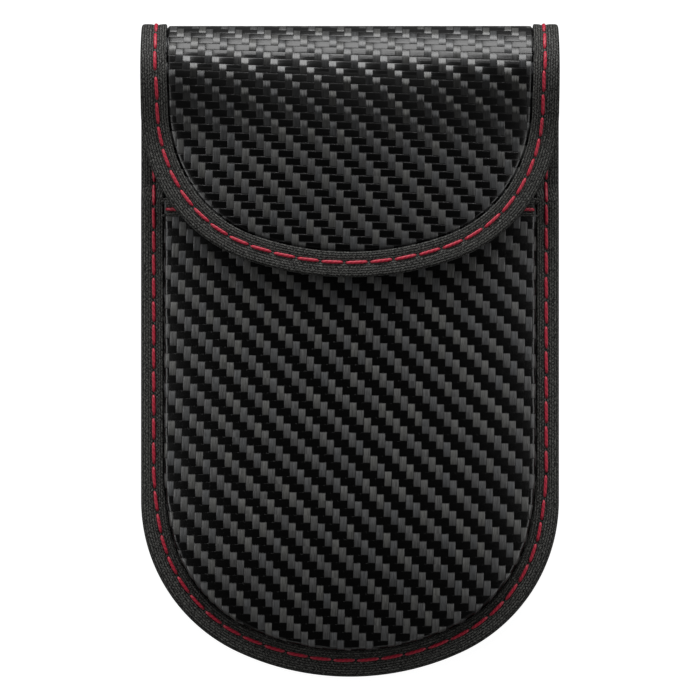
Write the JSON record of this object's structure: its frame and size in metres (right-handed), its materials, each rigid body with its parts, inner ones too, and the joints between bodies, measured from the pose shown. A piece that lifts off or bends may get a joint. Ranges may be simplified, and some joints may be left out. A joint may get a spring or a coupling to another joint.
{
  "type": "faraday key case",
  "caption": "Flat padded pouch of carbon-look leathercloth, lined with shielding cloth, with taped edges and a fold-over flap on a hook-and-loop strip; blocks a key fob's signal.",
  "frame": {"origin": "middle of the pouch's outline, on the surface that it lies on", "axes": "+X across the pouch, +Y towards the fold, +Z out of the front, where the flap lies"},
  "size_m": [0.09, 0.1404, 0.0148],
  "materials": {
    "leathercloth": "embossed twill, satin",
    "foam": "closed-cell foam",
    "shielding_cloth": "metallised ripstop",
    "binding_tape": "woven nylon",
    "red_thread": "twisted polyester",
    "black_thread": "twisted polyester",
    "loop_strip": "napped nylon loops",
    "hook_strip": "nylon hooks"
  },
  "bodies": {
    "pouch": {"back_panel": "leathercloth", "back_foam": "foam", "back_shield_outer": "shielding_cloth", "back_shield_inner": "shielding_cloth", "front_panel": "leathercloth", "front_foam": "foam", "front_shield_outer": "shielding_cloth", "front_shield_inner": "shielding_cloth", "body_binding": "binding_tape", "body_stitching": "red_thread", "mouth_binding": "binding_tape", "mouth_stitching": "red_thread", "loop_strip": "loop_strip", "loop_strip_stitching": "black_thread"},
    "fold": {"fold_panel": "leathercloth", "fold_shield_outer": "shielding_cloth", "fold_shield_inner": "shielding_cloth", "fold_binding": "binding_tape", "fold_stitching": "red_thread"},
    "flap": {"flap_panel": "leathercloth", "flap_foam": "foam", "flap_shield_outer": "shielding_cloth", "flap_shield_inner": "shielding_cloth", "flap_binding": "binding_tape", "flap_stitching": "red_thread", "hook_strip": "hook_strip", "hook_strip_stitching": "black_thread"}
  },
  "joints": [
    {"name": "back_crease", "type": "hinge", "parent": "pouch", "child": "fold", "pos_m": [0, 0.06794, 0.00186], "axis": [-1, 0, 0], "range_deg": [0, 90]},
    {"name": "front_crease", "type": "hinge", "parent": "fold", "child": "flap", "pos_m": [0, 0.06794, 0.01259], "axis": [-1, 0, 0], "range_deg": [0, 90]}
  ],
  "couplings": [
    {"joint": "front_crease", "follows": "back_crease", "ratio": 1}
  ]
}
